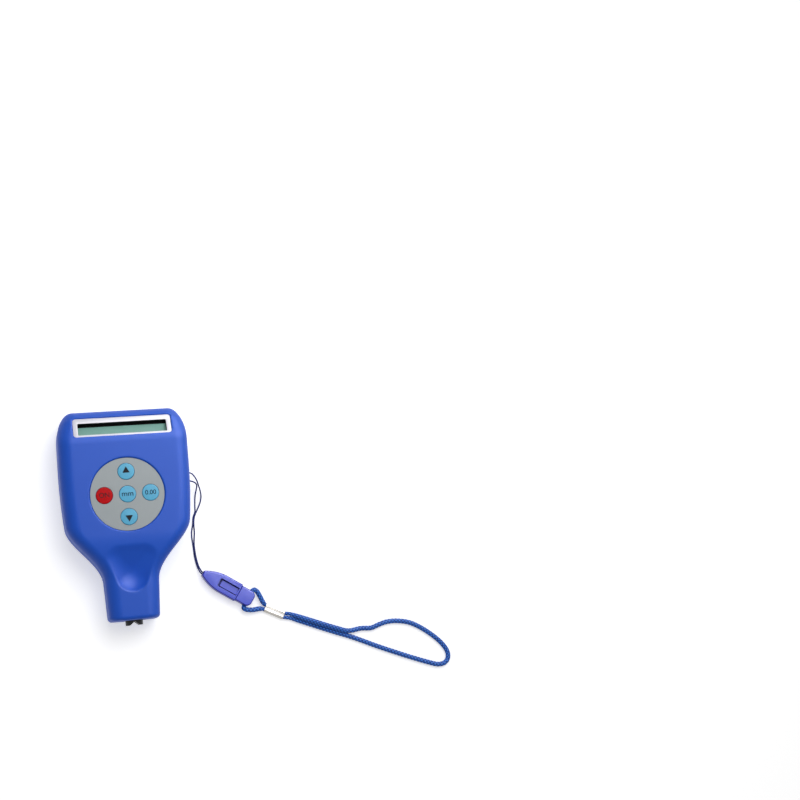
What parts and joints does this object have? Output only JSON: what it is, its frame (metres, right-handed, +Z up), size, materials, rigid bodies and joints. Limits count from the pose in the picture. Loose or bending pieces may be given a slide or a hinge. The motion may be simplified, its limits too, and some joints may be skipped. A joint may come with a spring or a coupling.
{
  "type": "coating thickness gauge",
  "caption": "Hand-held coating thickness gauge with a leaning display, round keypad, sprung probe at the end of a tapered neck, sliding battery door and wrist lanyard with release buckle.",
  "frame": {"origin": "middle of the gauge's outline, without its lanyard, on the floor plane under its flat back", "axes": "+Z up out of the keypad face, +Y along the case toward the display end, +X toward the lanyard side"},
  "size_m": [0.2021, 0.1487, 0.026],
  "materials": {
    "case_plastic": "fine satin moulding",
    "screw_steel": "zinc plated",
    "bezel_plastic": "pearl paint",
    "window_clear": "clear",
    "lcd_panel": "grey green panel",
    "tray_plastic": "plain moulding",
    "ribbon_film": "polyimide film",
    "pad_film": "matt printed film",
    "key_blue": "printed film",
    "key_red": "printed film",
    "dome_steel": "spring steel",
    "board_laminate": "solder mask",
    "chip_resin": "moulded resin",
    "can_metal": "drawn can",
    "cell_wrap": "plain sleeve",
    "contact_metal": "nickel plated",
    "guide_plastic": "plain moulding",
    "bobbin_plastic": "plain moulding",
    "coil_copper": "enamelled copper",
    "pole_steel": "ground steel",
    "lead_jacket": "soft jacket",
    "thin_cord": "fine braid",
    "buckle_plastic": "tinted plastic",
    "clip_metal": "bright plate",
    "wrist_cord": "round braid"
  },
  "bodies": {
    "gauge": {"front_cover": "case_plastic", "rear_cover": "case_plastic", "case_screws": "screw_steel", "board_screws": "screw_steel", "display_bezel": "bezel_plastic", "display_window": "window_clear", "lcd_panel": "lcd_panel", "lcd_tray": "tray_plastic", "lcd_ribbon": "ribbon_film", "keypad_overlay": "pad_film", "key_domes": "dome_steel", "probe_spring": "dome_steel", "main_board": "board_laminate", "microcontroller": "chip_resin", "analog_chip": "chip_resin", "crystal": "can_metal", "cell_left": "cell_wrap", "cell_right": "cell_wrap", "contact_bridge": "contact_metal", "contact_minus": "contact_metal", "contact_plus": "contact_metal", "probe_guide": "guide_plastic", "probe_lead": "lead_jacket", "lanyard_cord": "thin_cord", "buckle_socket": "buckle_plastic"},
    "battery_door": {"battery_door": "case_plastic"},
    "probe": {"probe_sleeve": "guide_plastic", "probe_bobbin": "bobbin_plastic", "probe_coil": "coil_copper", "probe_pole": "pole_steel"},
    "wrist_strap": {"buckle_plug": "buckle_plastic", "cord_clip": "clip_metal", "wrist_cord": "wrist_cord"},
    "key_on": {"key_on": "key_red"},
    "key_unit": {"key_unit": "key_blue"},
    "key_zero": {"key_zero": "key_blue"},
    "key_up": {"key_up": "key_blue"},
    "key_down": {"key_down": "key_blue"}
  },
  "joints": [
    {"name": "key_on_press", "type": "slide", "parent": "gauge", "child": "key_on", "axis": [0, 0, -1], "range_m": [0, 0.0004], "stiffness_N_per_m": 1500},
    {"name": "key_unit_press", "type": "slide", "parent": "gauge", "child": "key_unit", "axis": [0, 0, -1], "range_m": [0, 0.0004], "stiffness_N_per_m": 1500},
    {"name": "key_zero_press", "type": "slide", "parent": "gauge", "child": "key_zero", "axis": [0, 0, -1], "range_m": [0, 0.0004], "stiffness_N_per_m": 1500},
    {"name": "key_up_press", "type": "slide", "parent": "gauge", "child": "key_up", "axis": [0, 0, -1], "range_m": [0, 0.0004], "stiffness_N_per_m": 1500},
    {"name": "key_down_press", "type": "slide", "parent": "gauge", "child": "key_down", "axis": [0, 0, -1], "range_m": [0, 0.0004], "stiffness_N_per_m": 1500},
    {"name": "door_slide", "type": "slide", "parent": "gauge", "child": "battery_door", "axis": [0, 1, 0], "range_m": [0, 0.066]},
    {"name": "probe_plunge", "type": "slide", "parent": "gauge", "child": "probe", "axis": [0, 1, 0], "range_m": [0, 0.002], "stiffness_N_per_m": 400, "deforming": ["probe_spring", "probe_lead"]},
    {"name": "buckle_release", "type": "slide", "parent": "gauge", "child": "wrist_strap", "axis": [0.829, -0.5592, 0], "range_m": [0, 0.016]}
  ]
}
